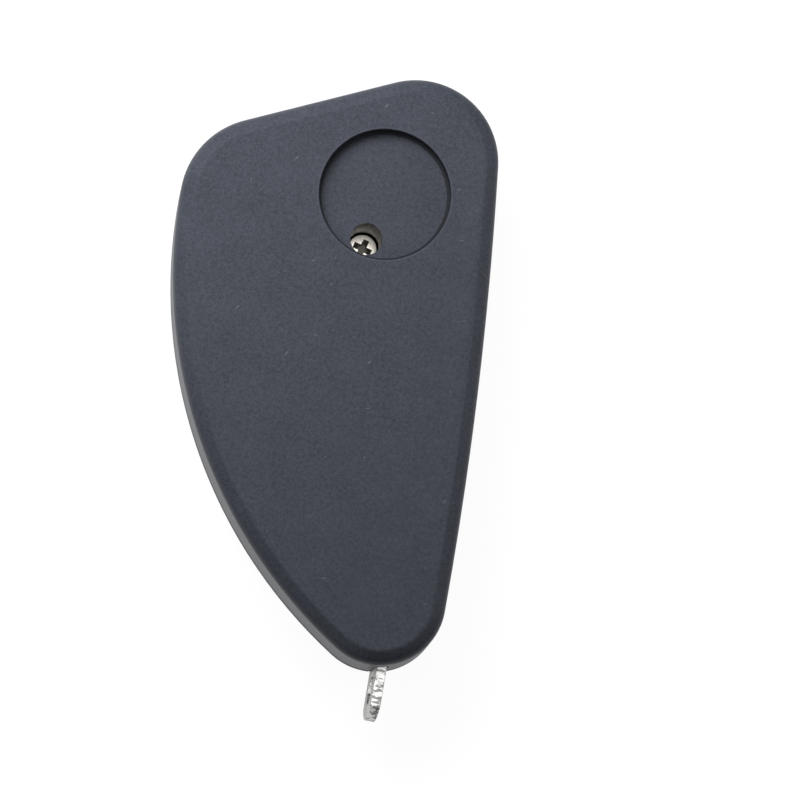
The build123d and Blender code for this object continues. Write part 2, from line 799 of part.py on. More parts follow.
# Lower contact: a bent strip across the case that stands on the board and bears on the cell's cap
with BuildPart() as lower_contact:
    with BuildSketch(
        Plane(
            origin=(pivot_x + cell_x, pivot_y + cell_y + contact_width / 2, board_top_z),
            x_dir=(1, 0, 0),
            z_dir=(0, -1, 0),
        )
    ):
        with BuildLine() as arch:
            Polyline(
                (-arch_half_length, contact_sheet / 2),
                (-arch_half_length + arch_foot, contact_sheet / 2),
                (-arch_crown, cell_lift - contact_sheet / 2),
                (arch_crown, cell_lift - contact_sheet / 2),
                (arch_half_length - arch_foot, contact_sheet / 2),
                (arch_half_length, contact_sheet / 2),
            )
        trace(arch.wire(), contact_sheet)
    extrude(amount=contact_width)
lower_contact.part.label = "lower_contact"
export_step(lower_contact.part, "parts/lower_contact.step")

# Upper contact: a strap along the case, over the cell, with both feet on the board
strap_half = cell_radius + contact_gap + contact_sheet
strap_rise = cell_top_z - board_top_z + contact_sheet
with BuildPart() as upper_contact:
    with BuildSketch(
        Plane(
            origin=(pivot_x + cell_x - contact_width / 2, pivot_y + cell_y, board_top_z),
            x_dir=(0, 1, 0),
            z_dir=(1, 0, 0),
        )
    ):
        block(-strap_half, strap_half, 0, strap_rise)
        block(
            contact_sheet - strap_half,
            strap_half - contact_sheet,
            contact_sheet,
            strap_rise - contact_sheet,
            mode=Mode.SUBTRACT,
        )
        block(
            contact_foot - strap_half,
            strap_half - contact_foot,
            0,
            contact_sheet,
            mode=Mode.SUBTRACT,
        )
    extrude(amount=contact_width)
upper_contact.part.label = "upper_contact"
export_step(upper_contact.part, "parts/upper_contact.step")

# Control chip on the board's upper side
with BuildPart() as control_chip:
    with BuildSketch(level(board_top_z)):
        with Locations((chip_x, chip_y)):
            Rectangle(chip_size, chip_size)
    extrude(amount=chip_height)
control_chip.part.label = "control_chip"
export_step(control_chip.part, "parts/control_chip.step")

# Resonator can beside the chip
with BuildPart() as resonator:
    with BuildSketch(level(board_top_z)):
        with Locations((resonator_x, resonator_y)):
            SlotOverall(resonator_length, resonator_width)
    extrude(amount=resonator_height)
resonator.part.label = "resonator"
export_step(resonator.part, "parts/resonator.step")

# Transponder in its pocket under the back plate
with BuildPart() as transponder:
    with BuildSketch(level(inner_back_z - transponder_height)):
        with Locations((transponder_x, transponder_y)):
            Rectangle(transponder_length, transponder_width)
    extrude(amount=transponder_height)
transponder.part.label = "transponder"
export_step(transponder.part, "parts/transponder.step")

# Key-ring eyelet: a stamped plate, caught in the tip by its shoulders
with BuildPart() as ring_eyelet:
    with BuildSketch(eyelet_plane):
        eyelet_profile()
        with Locations((eyelet_reach - eyelet_hole_margin - eyelet_hole_radius, 0)):
            Circle(eyelet_hole_radius, mode=Mode.SUBTRACT)
    extrude(amount=eyelet_thickness / 2, both=True)
ring_eyelet.part.label = "ring_eyelet"
export_step(ring_eyelet.part, "parts/ring_eyelet.step")

# Case screw: a cross-head screw at the bottom of the hole in the recess
with BuildPart() as case_screw:
    with BuildSketch(level(screw_seat_z)):
        with Locations((screw_x, screw_y)):
            Circle(screw_head_radius)
    extrude(amount=screw_head_height)
    fillet(case_screw.faces().sort_by(Axis.Z)[-1].edges(), screw_head_round)
    with BuildSketch(level(screw_seat_z - screw_length)):
        with Locations((screw_x, screw_y)):
            Circle(screw_radius)
    extrude(amount=screw_length)
    with BuildSketch(level(screw_seat_z + screw_head_height - driver_slot_depth)):
        with Locations((screw_x, screw_y)):
            Rectangle(driver_slot_length, driver_slot_width, rotation=driver_slot_turn)
            Rectangle(driver_slot_width, driver_slot_length, rotation=driver_slot_turn)
    extrude(amount=driver_slot_depth, mode=Mode.SUBTRACT)
case_screw.part.label = "case_screw"
export_step(case_screw.part, "parts/case_screw.step")
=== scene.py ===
"""Flip key remote: the finish of its case, screw, eyelet, blade, keys and board around the CAD frame.

The key lies on its front face, back up. Every size is in metres, in the frame's own axes: +Z points out
of the back cover and +Y the way the opened blade points.
"""

import json
from math import cos, pi, radians, sin, tan

import bmesh
import bpy
from bpy.props import FloatProperty, FloatVectorProperty, IntProperty, PointerProperty
from mathutils import Matrix, Vector


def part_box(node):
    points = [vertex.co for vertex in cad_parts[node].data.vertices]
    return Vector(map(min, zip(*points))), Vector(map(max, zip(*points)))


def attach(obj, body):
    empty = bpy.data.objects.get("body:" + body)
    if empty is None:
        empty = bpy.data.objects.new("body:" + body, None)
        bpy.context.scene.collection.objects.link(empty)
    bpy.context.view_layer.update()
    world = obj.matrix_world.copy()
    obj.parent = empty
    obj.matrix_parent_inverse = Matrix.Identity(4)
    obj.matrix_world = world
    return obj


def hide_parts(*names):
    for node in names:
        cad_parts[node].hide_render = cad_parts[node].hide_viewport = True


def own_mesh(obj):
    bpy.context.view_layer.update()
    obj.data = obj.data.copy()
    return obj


bl_info = {
    "name": "Flip Key Remote",
    "version": (1, 0, 0),
    "blender": (4, 5, 0),
    "location": "View3D > Sidebar > Flip Key",
    "description": "Dresses a folding car key remote with its finishes, screw, keys and eyelet",
    "category": "Object",
}

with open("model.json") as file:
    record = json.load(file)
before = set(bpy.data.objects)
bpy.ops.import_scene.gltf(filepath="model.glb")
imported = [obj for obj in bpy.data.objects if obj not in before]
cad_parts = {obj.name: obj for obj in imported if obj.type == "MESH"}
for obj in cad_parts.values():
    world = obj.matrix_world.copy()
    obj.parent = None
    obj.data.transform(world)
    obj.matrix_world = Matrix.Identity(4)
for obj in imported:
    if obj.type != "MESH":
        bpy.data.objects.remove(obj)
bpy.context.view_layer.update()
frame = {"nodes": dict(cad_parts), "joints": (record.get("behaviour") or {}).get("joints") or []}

MM = 0.001
MERGE_DISTANCE = 0.002 * MM
FLAT_ANGLE = radians(0.6)
SHARP_ANGLE = radians(32)
BEVEL_ANGLE = radians(40)
FULL_TURN = 2 * pi
ABOVE = Vector((0, 0, 1))

joints = {joint["name"]: joint for joint in frame["joints"]}
PIVOT = Vector(joints["flip"]["pos_m"])
RECESS_CENTRE = PIVOT + Vector((-3.4, -5.15, 0)) * MM
CAMERA_AIM = PIVOT + Vector((2.49, -29.9, -0.1)) * MM


class FlipKeyCase(bpy.types.PropertyGroup):
    """Finish of the two covers."""

    plastic: FloatVectorProperty(
        name="Plastic", description="Colour of the covers", subtype="COLOR",
        default=(0.0402, 0.0443, 0.0567),
    )
    roughness: FloatProperty(
        name="Roughness", description="Roughness of the covers", subtype="FACTOR", default=0.6, min=0, max=1
    )
    specular: FloatProperty(
        name="Shine", description="Strength of the covers' shine", subtype="FACTOR",
        default=0.12, min=0, max=1,
    )
    parting: FloatProperty(
        name="Parting line", description="Height where the covers meet", unit="LENGTH", default=5.0 * MM
    )
    wall_polish: FloatProperty(
        name="Wall polish", description="How much smoother the walls are", subtype="FACTOR", default=0.12
    )
    wall_shine: FloatProperty(
        name="Wall shine", description="Strength of the walls' shine", subtype="FACTOR", default=0.6
    )
    # Painted shade: the hole's wall gets a darker copy of the covers' plastic
    bore_shade: FloatVectorProperty(
        name="Bore", description="Colour of the screw's hole", subtype="COLOR", default=(0.024, 0.023, 0.02)
    )
    grain_size: FloatProperty(
        name="Grain size", description="Width of one spark-eroded pit", unit="LENGTH", default=0.16 * MM
    )
    grain_depth: FloatProperty(
        name="Grain depth", description="Depth of the spark-eroded pits", unit="LENGTH", default=0.02 * MM
    )
    uneven: FloatProperty(
        name="Unevenness", description="Swing of the plastic's tone", subtype="FACTOR",
        default=0.34, min=0, max=1,
    )
    # Painted light in the covers' colour: shade painted at the recess's foot, and a highlight painted on
    # its rim
    recess_shade: FloatProperty(
        name="Darkening", description="Dirt at the foot of the recess", subtype="FACTOR",
        default=0.76, min=0, max=1,
    )
    recess_shade_width: FloatProperty(
        name="Dirt width", description="Width of the dirt at the recess's foot", unit="LENGTH",
        default=0.38 * MM,
    )
    mark: FloatVectorProperty(
        name="Marks", description="Colour of the specks and hairs on the back", subtype="COLOR",
        default=(0.14, 0.145, 0.16),
    )
    # Painted highlight: how much the recess's rim is lightened
    rim_highlight: FloatProperty(
        name="Highlighted rim", description="Highlight of the recess's rim", subtype="FACTOR",
        default=0.2, min=0, max=1,
    )


class FlipKeyMetal(bpy.types.PropertyGroup):
    """Finish of the metal pieces, and the case screw's thread and cross."""

    eyelet: FloatVectorProperty(
        name="Eyelet", description="Colour of the stamped eyelet", subtype="COLOR",
        default=(0.68, 0.68, 0.66),
    )
    blade: FloatVectorProperty(
        name="Blade", description="Colour of the plated blade", subtype="COLOR", default=(0.6, 0.58, 0.54)
    )
    screw: FloatVectorProperty(
        name="Screw", description="Colour of the plated screw", subtype="COLOR", default=(0.97, 0.93, 0.83)
    )
    edge_round: FloatProperty(
        name="Edge round", description="Round on stamped and milled edges", unit="LENGTH", default=0.09 * MM
    )
    thread_pitch: FloatProperty(
        name="Thread pitch", description="Pitch of the case screw", unit="LENGTH", default=0.4 * MM
    )
    thread_depth: FloatProperty(
        name="Thread depth", description="Depth of the screw's thread", unit="LENGTH", default=0.22 * MM
    )
    cross_turn: FloatProperty(
        name="Cross turn", description="Turn of the screw's cross recess", subtype="ANGLE",
        default=radians(71),
    )


class FlipKeyKeys(bpy.types.PropertyGroup):
    """Shape and finish of the keys."""

    cap: FloatVectorProperty(
        name="Caps", description="Colour of the key caps", subtype="COLOR", default=(0.03, 0.032, 0.036)
    )
    icon: FloatVectorProperty(
        name="Icons", description="Colour of the icons", subtype="COLOR", default=(0.62, 0.63, 0.64)
    )
    crown: FloatProperty(
        name="Crown", description="Rise of each cap's middle", unit="LENGTH", default=0.12 * MM
    )
    icon_relief: FloatProperty(
        name="Icon relief", description="Height of the icons above the crown", unit="LENGTH",
        default=0.05 * MM,
    )


class FlipKeyStage(bpy.types.PropertyGroup):
    """Camera, lamps and floor."""

    distance: FloatProperty(
        name="Camera distance", description="From the camera to its aim", unit="LENGTH", default=0.8
    )
    lens: FloatProperty(
        name="Lens", description="Focal length of the camera", unit="CAMERA", default=282.36
    )
    lean_down: FloatProperty(
        name="Lean down", description="How far the camera stands towards the eyelet", subtype="ANGLE",
        default=radians(7.5),
    )
    lean_left: FloatProperty(
        name="Lean left", description="How far the camera stands towards the curved side",
        subtype="ANGLE", default=radians(4),
    )
    roll: FloatProperty(
        name="Roll", description="Turn of the key in the picture", subtype="ANGLE", default=radians(8)
    )
    key_power: FloatProperty(
        name="Key lamp", description="Power of the soft lamp beyond the blade's hub", unit="POWER",
        default=0.365,
    )
    key_size: FloatProperty(
        name="Key lamp size", description="Width of the soft lamp", unit="LENGTH", default=0.1
    )
    fill_power: FloatProperty(
        name="Fill lamp", description="Power of the lamp on the curved side", unit="POWER", default=0.185
    )
    rim_power: FloatProperty(
        name="Rim lamp", description="Power of the low lamp on the straight side", unit="POWER",
        default=0.18,
    )
    side_size: FloatProperty(
        name="Side lamp size", description="Width of the fill and the rim lamp", unit="LENGTH", default=0.12
    )
    glint_power: FloatProperty(
        name="Glint lamp", description="Power of the small lamp that the screw mirrors", unit="POWER",
        default=0.04,
    )
    glint_size: FloatProperty(
        name="Glint lamp size", description="Width of the small lamp", unit="LENGTH", default=0.06
    )
    ceiling: FloatProperty(
        name="Ceiling", description="Strength of the ceiling in what shines", default=2.2
    )
    ambient: FloatProperty(
        name="Ambient", description="Light of the room on matte surfaces", subtype="FACTOR", default=0.075
    )
    floor: FloatVectorProperty(
        name="Floor", description="Colour of the floor", subtype="COLOR", default=(0.86, 0.86, 0.86)
    )


# Materials

def add_node(tree, kind, values=None, **settings):
    """Add a shader node, with its settings and the values of its input sockets."""
    made = tree.nodes.new(kind)
    for name, value in settings.items():
        setattr(made, name, value)
    for socket, value in (values or {}).items():
        set_input(tree, made.inputs[socket], value)
    return made


def set_input(tree, socket, value):
    """Link an input to another node's output, or set it to a constant."""
    if isinstance(value, bpy.types.NodeSocket):
        tree.links.new(value, socket)
    else:
        socket.default_value = value


def new_finish(name, colour, roughness, metallic=0.0, specular=0.5):
    """Make a material with one principled shader, and return it with its tree and shader."""
    finish = bpy.data.materials.new(name)
    finish.use_nodes = True
    tree = finish.node_tree
    shader = tree.nodes["Principled BSDF"]
    shader.inputs["Base Color"].default_value = (*colour, 1)
    values = {"Roughness": roughness, "Metallic": metallic, "Specular IOR Level": specular}
    for socket, value in values.items():
        shader.inputs[socket].default_value = value
    finish.diffuse_color = (*colour, 1)
    return finish, tree, shader


def place_on(tree):
    """The piece's own coordinates."""
    return add_node(tree, "ShaderNodeTexCoord").outputs["Object"]


def height_of(tree, place):
    """The height of a place."""
    return add_node(tree, "ShaderNodeSeparateXYZ", {"Vector": place}).outputs["Z"]


def colour_feed(finish):
    """A finish's tree, its colour input, and what feeds that."""
    socket = finish.node_tree.nodes["Principled BSDF"].inputs["Base Color"]
    return finish.node_tree, socket, socket.links[0].from_socket


def noise(tree, place, size, detail=2.0, stretch=(1, 1, 1), roughness=0.5):
    """Noise whose features are about one size across, drawn out along an axis where stretch is small."""
    if stretch != (1, 1, 1):
        place = add_node(tree, "ShaderNodeMapping", {"Vector": place, "Scale": stretch}).outputs["Vector"]
    values = {"Vector": place, "Scale": 1 / size, "Detail": detail, "Roughness": roughness}
    return add_node(tree, "ShaderNodeTexNoise", values).outputs["Fac"]


def spread(tree, value, low, high, new_low=0, new_high=1):
    """Map a value from one range to another, clamped."""
    values = {"Value": value, "From Min": low, "From Max": high, "To Min": new_low, "To Max": new_high}
    return add_node(tree, "ShaderNodeMapRange", values).outputs["Result"]


def blend(tree, value, first, second):
    """Blend from a first colour or colour socket to a second, by a value from 0 to 1."""
    mix = add_node(tree, "ShaderNodeMix", data_type="RGBA")
    # Several of the node's sockets share a name, so those of the colours are taken by number
    factor, base, over = mix.inputs[0], mix.inputs[6], mix.inputs[7]
    tree.links.new(value, factor)
    for socket, colour in ((base, first), (over, second)):
        set_input(tree, socket, (*colour, 1) if isinstance(colour, tuple) else colour)
    return mix.outputs[2]


def arithmetic(tree, kind, first, second):
    """One sum, product or other operation on two values."""
    made = add_node(tree, "ShaderNodeMath", operation=kind)
    for socket, value in zip(made.inputs, (first, second)):
        set_input(tree, socket, value)
    return made.outputs[0]


def product(tree, first, *others):
    """Values and masks multiplied."""
    for other in others:
        first = arithmetic(tree, "MULTIPLY", first, other)
    return first


def relief(tree, shader, height, depth):
    """Turn a height from 0 to 1 into a bump of a real depth."""
    bump = add_node(tree, "ShaderNodeBump", {"Height": height, "Distance": depth, "Strength": 1.0})
    tree.links.new(bump.outputs["Normal"], shader.inputs["Normal"])


def scaled(colour, share):
    """A colour made darker or lighter."""
    return tuple(channel * share for channel in colour)


def moulded_plastic(name, colour, roughness, grain_size, grain_depth, uneven=0.2, specular=0.35):
    """Spark-eroded plastic: fine pits and a mottled tone at three sizes."""
    finish, tree, shader = new_finish(name, colour, roughness, specular=specular)
    place = place_on(tree)
    grain = noise(tree, place, grain_size, detail=1.0)
    mottle = noise(tree, place, 3 * grain_size, detail=2.0)
    cloud = noise(tree, place, 30 * grain_size, detail=3.0)
    tone = product(tree, grain, 0.5)
    for layer, share in ((mottle, 0.35), (cloud, 0.15)):
        tone = arithmetic(tree, "ADD", tone, product(tree, layer, share))
    tone = spread(tree, tone, 0.35, 0.65)
    surface = blend(tree, tone, scaled(colour, 1 - uneven), scaled(colour, 1 + uneven))
    tree.links.new(surface, shader.inputs["Base Color"])
    rough = spread(tree, grain, 0.3, 0.7, roughness - 0.06, roughness + 0.08)
    tree.links.new(rough, shader.inputs["Roughness"])
    relief(tree, shader, grain, grain_depth)
    return finish


def from_axis(tree, place, centre):
    """Distance from a vertical axis."""
    values = {"Vector": place, "Location": (-centre.x, -centre.y, 0), "Scale": (1, 1, 0)}
    flat = add_node(tree, "ShaderNodeMapping", values).outputs["Vector"]
    return add_node(tree, "ShaderNodeVectorMath", {"Vector": flat}, operation="LENGTH").outputs["Value"]


def band(tree, value, low, high, soft):
    """A mask that is 1 between two values, with soft ends."""
    rising = spread(tree, value, low - soft, low)
    falling = spread(tree, value, high, high + soft, 1, 0)
    return product(tree, rising, falling)


def polish_walls(finish, centre, radius, top, look):
    """Make the walls smoother than the back, and the front a little, but not the badge recess."""
    back_end = top - 0.7 * MM
    wall_start = top - 2.1 * MM
    recess_limit = top - 2.5 * MM
    limit_fade = 0.5 * MM
    rim_gap = 0.05 * MM
    rim_fade = 0.25 * MM
    parting_fade = 0.1 * MM
    front_share = 0.35
    tree = finish.node_tree
    shader = tree.nodes["Principled BSDF"]
    place = place_on(tree)
    height = height_of(tree, place)
    reach = from_axis(tree, place, centre)
    wall = spread(tree, height, wall_start, back_end, 1, 0)
    outside = spread(tree, reach, radius + rim_gap, radius + rim_gap + rim_fade)
    below = spread(tree, height, recess_limit - limit_fade, recess_limit, 1, 0)
    outside = arithmetic(tree, "MAXIMUM", outside, below)
    back_half = spread(tree, height, look.parting - parting_fade, look.parting, front_share, 1)
    polish = product(tree, wall, back_half, outside)
    rough = shader.inputs["Roughness"].links[0].from_socket
    smoother = arithmetic(tree, "SUBTRACT", rough, product(tree, polish, look.wall_polish))
    tree.links.new(smoother, shader.inputs["Roughness"])
    shine = spread(tree, polish, 0, 1, look.specular, look.wall_shine)
    tree.links.new(shine, shader.inputs["Specular IOR Level"])


def paint_recess_shade_and_highlight(finish, centre, radius, top, look):
    """Paint shade at the foot of the badge recess, and a painted highlight on the rim round it."""
    rim_foot = top - 0.25 * MM
    rim_top = top - 0.12 * MM
    shade_limit = top - 2 * MM
    tree, socket, surface = colour_feed(finish)
    place = place_on(tree)
    reach = from_axis(tree, place, centre)
    height = height_of(tree, place)
    foot = band(tree, reach, radius - look.recess_shade_width, radius + 0.02 * MM, soft=0.1 * MM)
    under_rim = band(tree, height, shade_limit, rim_foot, soft=0.13 * MM)
    # Painted shade: the plastic is darkened in a ring at the foot of the recess wall
    painted_shade = product(tree, foot, under_rim, look.recess_shade)
    # Painted highlight: a lightened band on the recess's rim
    rim = band(tree, reach, radius + 0.04 * MM, radius + 0.2 * MM, soft=0.05 * MM)
    painted_highlight = product(tree, rim, spread(tree, height, rim_foot, rim_top, 0, look.rim_highlight))
    surface = blend(tree, painted_shade, surface, scaled(look.plastic, 0.1))
    surface = blend(tree, painted_highlight, surface, scaled(look.plastic, 2.0))
    tree.links.new(surface, socket)


def mark_back(finish, top, spacing, length, turn, radius, share, colour):
    """Scatter a few pale specks over the back, drawn out into hairs where a length is over 1."""
    lowest = top - 0.9 * MM
    tree, socket, surface = colour_feed(finish)
    place = place_on(tree)
    values = {"Vector": place, "Rotation": (0, 0, turn), "Scale": (length, 1, 1)}
    turned = add_node(tree, "ShaderNodeMapping", values, vector_type="TEXTURE").outputs["Vector"]
    values = {"Vector": turned, "Scale": 1 / spacing}
    cells = add_node(tree, "ShaderNodeTexVoronoi", values, voronoi_dimensions="2D")
    near = spread(tree, cells.outputs["Distance"], radius / spacing * 0.5, radius / spacing, 1, 0)
    chance = add_node(tree, "ShaderNodeSeparateColor", {"Color": cells.outputs["Color"]}).outputs["Red"]
    chosen = arithmetic(tree, "LESS_THAN", chance, share)
    on_back = spread(tree, height_of(tree, place), lowest, lowest + 0.1 * MM)
    mask = product(tree, near, chosen, on_back)
    tree.links.new(blend(tree, mask, surface, tuple(colour)), socket)


def plated_metal(
    name, colour, roughness, line_size, line_depth, stretch=(1, 1, 1), tarnish=0.15, metallic=1.0
):
    """Plated metal with drawn or ground lines along one axis and a faint uneven tarnish."""
    finish, tree, shader = new_finish(name, colour, roughness, metallic=metallic)
    place = place_on(tree)
    lines = noise(tree, place, line_size, detail=4.0, stretch=stretch, roughness=0.65)
    cloud = noise(tree, place, 2.5 * MM, detail=3.0)
    dull = spread(tree, cloud, 0.45, 0.75, 0, tarnish)
    bright = blend(tree, spread(tree, lines, 0.3, 0.7), scaled(colour, 0.86), scaled(colour, 1.1))
    surface = blend(tree, dull, bright, scaled(colour, 0.35))
    tree.links.new(surface, shader.inputs["Base Color"])
    rough = spread(tree, lines, 0.3, 0.7, roughness - 0.07, roughness + 0.12)
    tree.links.new(rough, shader.inputs["Roughness"])
    relief(tree, shader, lines, line_depth)
    return finish


def score(finish, size, stretch, threshold, colour):
    """Draw short dark ragged lines over a finish, where a noise is above a threshold."""
    tree, socket, surface = colour_feed(finish)
    lines = noise(tree, place_on(tree), size, detail=5.0, stretch=stretch, roughness=0.7)
    surface = blend(tree, spread(tree, lines, threshold, threshold + 0.05), surface, colour)
    tree.links.new(surface, socket)


def soft_rubber(name, colour):
    """Matte silicone with a faint bloom."""
    finish, tree, shader = new_finish(name, colour, roughness=0.75, specular=0.3)
    place = place_on(tree)
    bloom = spread(tree, noise(tree, place, 1.2 * MM, detail=4.0), 0.35, 0.7)
    surface = blend(tree, bloom, scaled(colour, 0.85), scaled(colour, 1.3))
    tree.links.new(surface, shader.inputs["Base Color"])
    relief(tree, shader, noise(tree, place, 0.2 * MM), 0.006 * MM)
    return finish


def solder_mask(name, colour, track_colour):
    """Solder-masked laminate, with copper tracks that show paler through the mask."""
    track_pitch = 2.2 * MM
    ring_gap = 0.16
    finish, tree, shader = new_finish(name, colour, roughness=0.3)
    place = place_on(tree)
    flat = add_node(tree, "ShaderNodeMapping", {"Vector": place, "Scale": (1, 1, 0)}).outputs["Vector"]
    values = {"Vector": flat, "Scale": 1 / track_pitch}
    cells = add_node(tree, "ShaderNodeTexVoronoi", values, distance="MANHATTAN", feature="F1")
    rings = arithmetic(tree, "PINGPONG", cells.outputs["Distance"], ring_gap)
    track = spread(tree, rings, 0.1, 0.115)
    weave = noise(tree, place, 0.3 * MM, detail=2.0)
    mask = blend(tree, weave, scaled(colour, 0.85), scaled(colour, 1.15))
    surface = blend(tree, track, mask, track_colour)
    tree.links.new(surface, shader.inputs["Base Color"])
    relief(tree, shader, track, 0.03 * MM)
    return finish


# Meshes

def merged_copy(node):
    """A copy of a CAD node's mesh, with its doubles merged and its flat regions made whole."""
    form = bmesh.new()
    form.from_mesh(frame["nodes"][node].data)
    bmesh.ops.remove_doubles(form, verts=form.verts, dist=MERGE_DISTANCE)
    bmesh.ops.dissolve_limit(
        form, angle_limit=FLAT_ANGLE, use_dissolve_boundaries=False, verts=form.verts, edges=form.edges
    )
    return form


def shade(form, keep_sharp=True):
    """Shade a form smooth, with its sharp edges kept unless a bevel rounds them."""
    for face in form.faces:
        face.smooth = True
    if keep_sharp:
        for edge in form.edges:
            edge.smooth = edge.calc_face_angle(0) < SHARP_ANGLE


def new_object(name, data):
    """Add an object to the scene."""
    made = bpy.data.objects.new(name, data)
    bpy.context.scene.collection.objects.link(made)
    return made


def object_from(form, name):
    """Add an object to the scene from a form, and free the form."""
    mesh = bpy.data.meshes.new(name)
    form.to_mesh(mesh)
    form.free()
    return new_object(name, mesh)


def finish_modifiers(piece, edge_round):
    """Round a piece's sharp edges and even out its shading."""
    if edge_round:
        rounding = piece.modifiers.new("Edge round", "BEVEL")
        rounding.width = edge_round
        rounding.segments = 2
        rounding.limit_method = "ANGLE"
        rounding.angle_limit = BEVEL_ANGLE
        rounding.harden_normals = False
    shading = piece.modifiers.new("Even shading", "WEIGHTED_NORMAL")
    shading.keep_sharp = True
    shading.weight = 100


def add_piece(form, name, body, finishes, nodes=(), edge_round=0.0):
    """Make a form an object that rides on a body, takes its finishes and stands for its CAD nodes."""
    shade(form, keep_sharp=not edge_round)
    piece = object_from(form, name)
    mesh = piece.data
    stale = mesh.attributes.get("custom_normal")
    if stale is not None:
        mesh.attributes.remove(stale)
    for finish in finishes:
        mesh.materials.append(finish)
    finish_modifiers(piece, edge_round)
    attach(piece, body)
    if nodes:
        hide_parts(*nodes)
    return piece


def dress(node, name, body, finish, edge_round=0.0):
    """Put a merged copy of a CAD node, in one finish, in that node's place."""
    return add_piece(merged_copy(node), name, body, [finish], [node], edge_round)


def squash_under(piece):
    """Give a piece its own copy of its mesh."""
    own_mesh(piece)


def lowest_face(form):
    """The largest face that looks straight out of the front, at the form's lowest point."""
    facing = [face for face in form.faces if face.normal.dot(-ABOVE) > 0.999]
    low = min(face.calc_center_median().z for face in facing)
    level = [face for face in facing if face.calc_center_median().z < low + MERGE_DISTANCE]
    return max(level, key=lambda face: face.calc_area())


def step_in(form, face, steps):
    """Inset a face by steps of a width and a rise out of the face, and fan out its middle."""
    for width, rise in steps:
        bmesh.ops.inset_region(form, faces=[face], thickness=width, depth=rise, use_even_offset=True)
    bmesh.ops.poke(form, faces=[face], offset=0, center_mode="MEAN", use_relative_offset=False)


def spun_form(profile, centre, segments):
    """A solid turned round a vertical axis from a profile of radius and height, bottom to top."""
    form = bmesh.new()
    corners = [form.verts.new((centre.x + radius, centre.y, height)) for radius, height in profile]
    edges = [form.edges.new(pair) for pair in zip(corners, corners[1:])]
    bmesh.ops.spin(
        form,
        geom=corners + edges,
        cent=centre,
        axis=ABOVE,
        angle=FULL_TURN,
        steps=segments,
        use_merge=True,
    )
    bmesh.ops.remove_doubles(form, verts=form.verts, dist=MERGE_DISTANCE)
    bmesh.ops.recalc_face_normals(form, faces=form.faces)
    return form


def box_between(form, low, high):
    """Add a box between two corners and return its vertices."""
    made = bmesh.ops.create_cube(form, size=1)["verts"]
    size = Vector(high) - Vector(low)
    bmesh.ops.scale(form, vec=size, verts=made)
    bmesh.ops.translate(form, vec=(Vector(low) + Vector(high)) / 2, verts=made)
    return made


def cut_from(piece, cutter_form):
    """Cut a closed form out of a piece's mesh, for good."""
    cutter = object_from(cutter_form, "cutter")
    cutting = piece.modifiers.new("Cut", "BOOLEAN")
    cutting.operation = "DIFFERENCE"
    cutting.solver = "EXACT"
    cutting.use_self = True
    cutting.object = cutter
    piece.modifiers.move(len(piece.modifiers) - 1, 0)
    shown = [other for other in piece.modifiers if other != cutting]
    for other in shown:
        other.show_viewport = False
    ready = piece.evaluated_get(bpy.context.evaluated_depsgraph_get())
    cut_mesh = bpy.data.meshes.new_from_object(ready)
    for other in shown:
        other.show_viewport = True
    piece.modifiers.remove(cutting)
    piece.data = cut_mesh
    bpy.data.objects.remove(cutter)


def middle(node):
    """Centre of a CAD node's box."""
    low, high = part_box(node)
    return (low + high) / 2


# Operators

class FLIPKEY_OT_covers(bpy.types.Operator):
    """Give the back and front cover their moulded plastic"""

    bl_idname = "flipkey.covers"
    bl_label = "Covers"

    recess_radius: FloatProperty(
        name="Recess radius", description="Radius of the badge recess", unit="LENGTH", default=8.4 * MM
    )
    bore_radius: FloatProperty(
        name="Bore radius", description="Radius of the screw's hole", unit="LENGTH", default=2.05 * MM
    )

    def mark(self, plastic, top, colour):
        """Add specks, and hairs that lie two ways."""
        for spacing, length, turn, radius, share in (
            (2.4 * MM, 1, 0, 0.09 * MM, 0.035),
            (0.8 * MM, 8, radians(55), 0.055 * MM, 0.012),
            (0.9 * MM, 7, radians(10), 0.05 * MM, 0.01),
        ):
            mark_back(plastic, top, spacing, length, turn, radius, share, colour)

    def line_bore(self, form):
        """Give the wall of the screw's hole the second finish, a darker plastic that paints shade into the
        hole.
        """
        screw = middle("case_screw")
        slack = 0.02 * MM
        for face in form.faces:
            reach = max((corner.co.xy - screw.xy).length for corner in face.verts)
            upright = abs(face.normal.z) < 0.5
            face.material_index = int(reach < self.bore_radius + slack and upright)

    def execute(self, context):
        look = context.scene.flip_key_case
        plastic = moulded_plastic(
            "case_plastic", tuple(look.plastic), look.roughness, look.grain_size, look.grain_depth,
            look.uneven, look.specular,
        )
        # Painted shade: the darker plastic for the wall of the screw's hole
        bore_shade = moulded_plastic(
            "shaded_bore_plastic", look.bore_shade, 0.34, look.grain_size, look.grain_depth * 0.2, specular=0.18
        )
        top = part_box("back_cover")[1].z
        polish_walls(plastic, RECESS_CENTRE, self.recess_radius, top, look)
        # Paint shade into the recess's foot and a highlight onto its rim
        paint_recess_shade_and_highlight(plastic, RECESS_CENTRE, self.recess_radius, top, look)
        self.mark(plastic, top, look.mark)
        back = merged_copy("back_cover")
        self.line_bore(back)
        add_piece(back, "back_moulding", "case", [plastic, bore_shade], ["back_cover"])
        dress("front_cover", "front_moulding", "case", plastic)
        return {"FINISHED"}


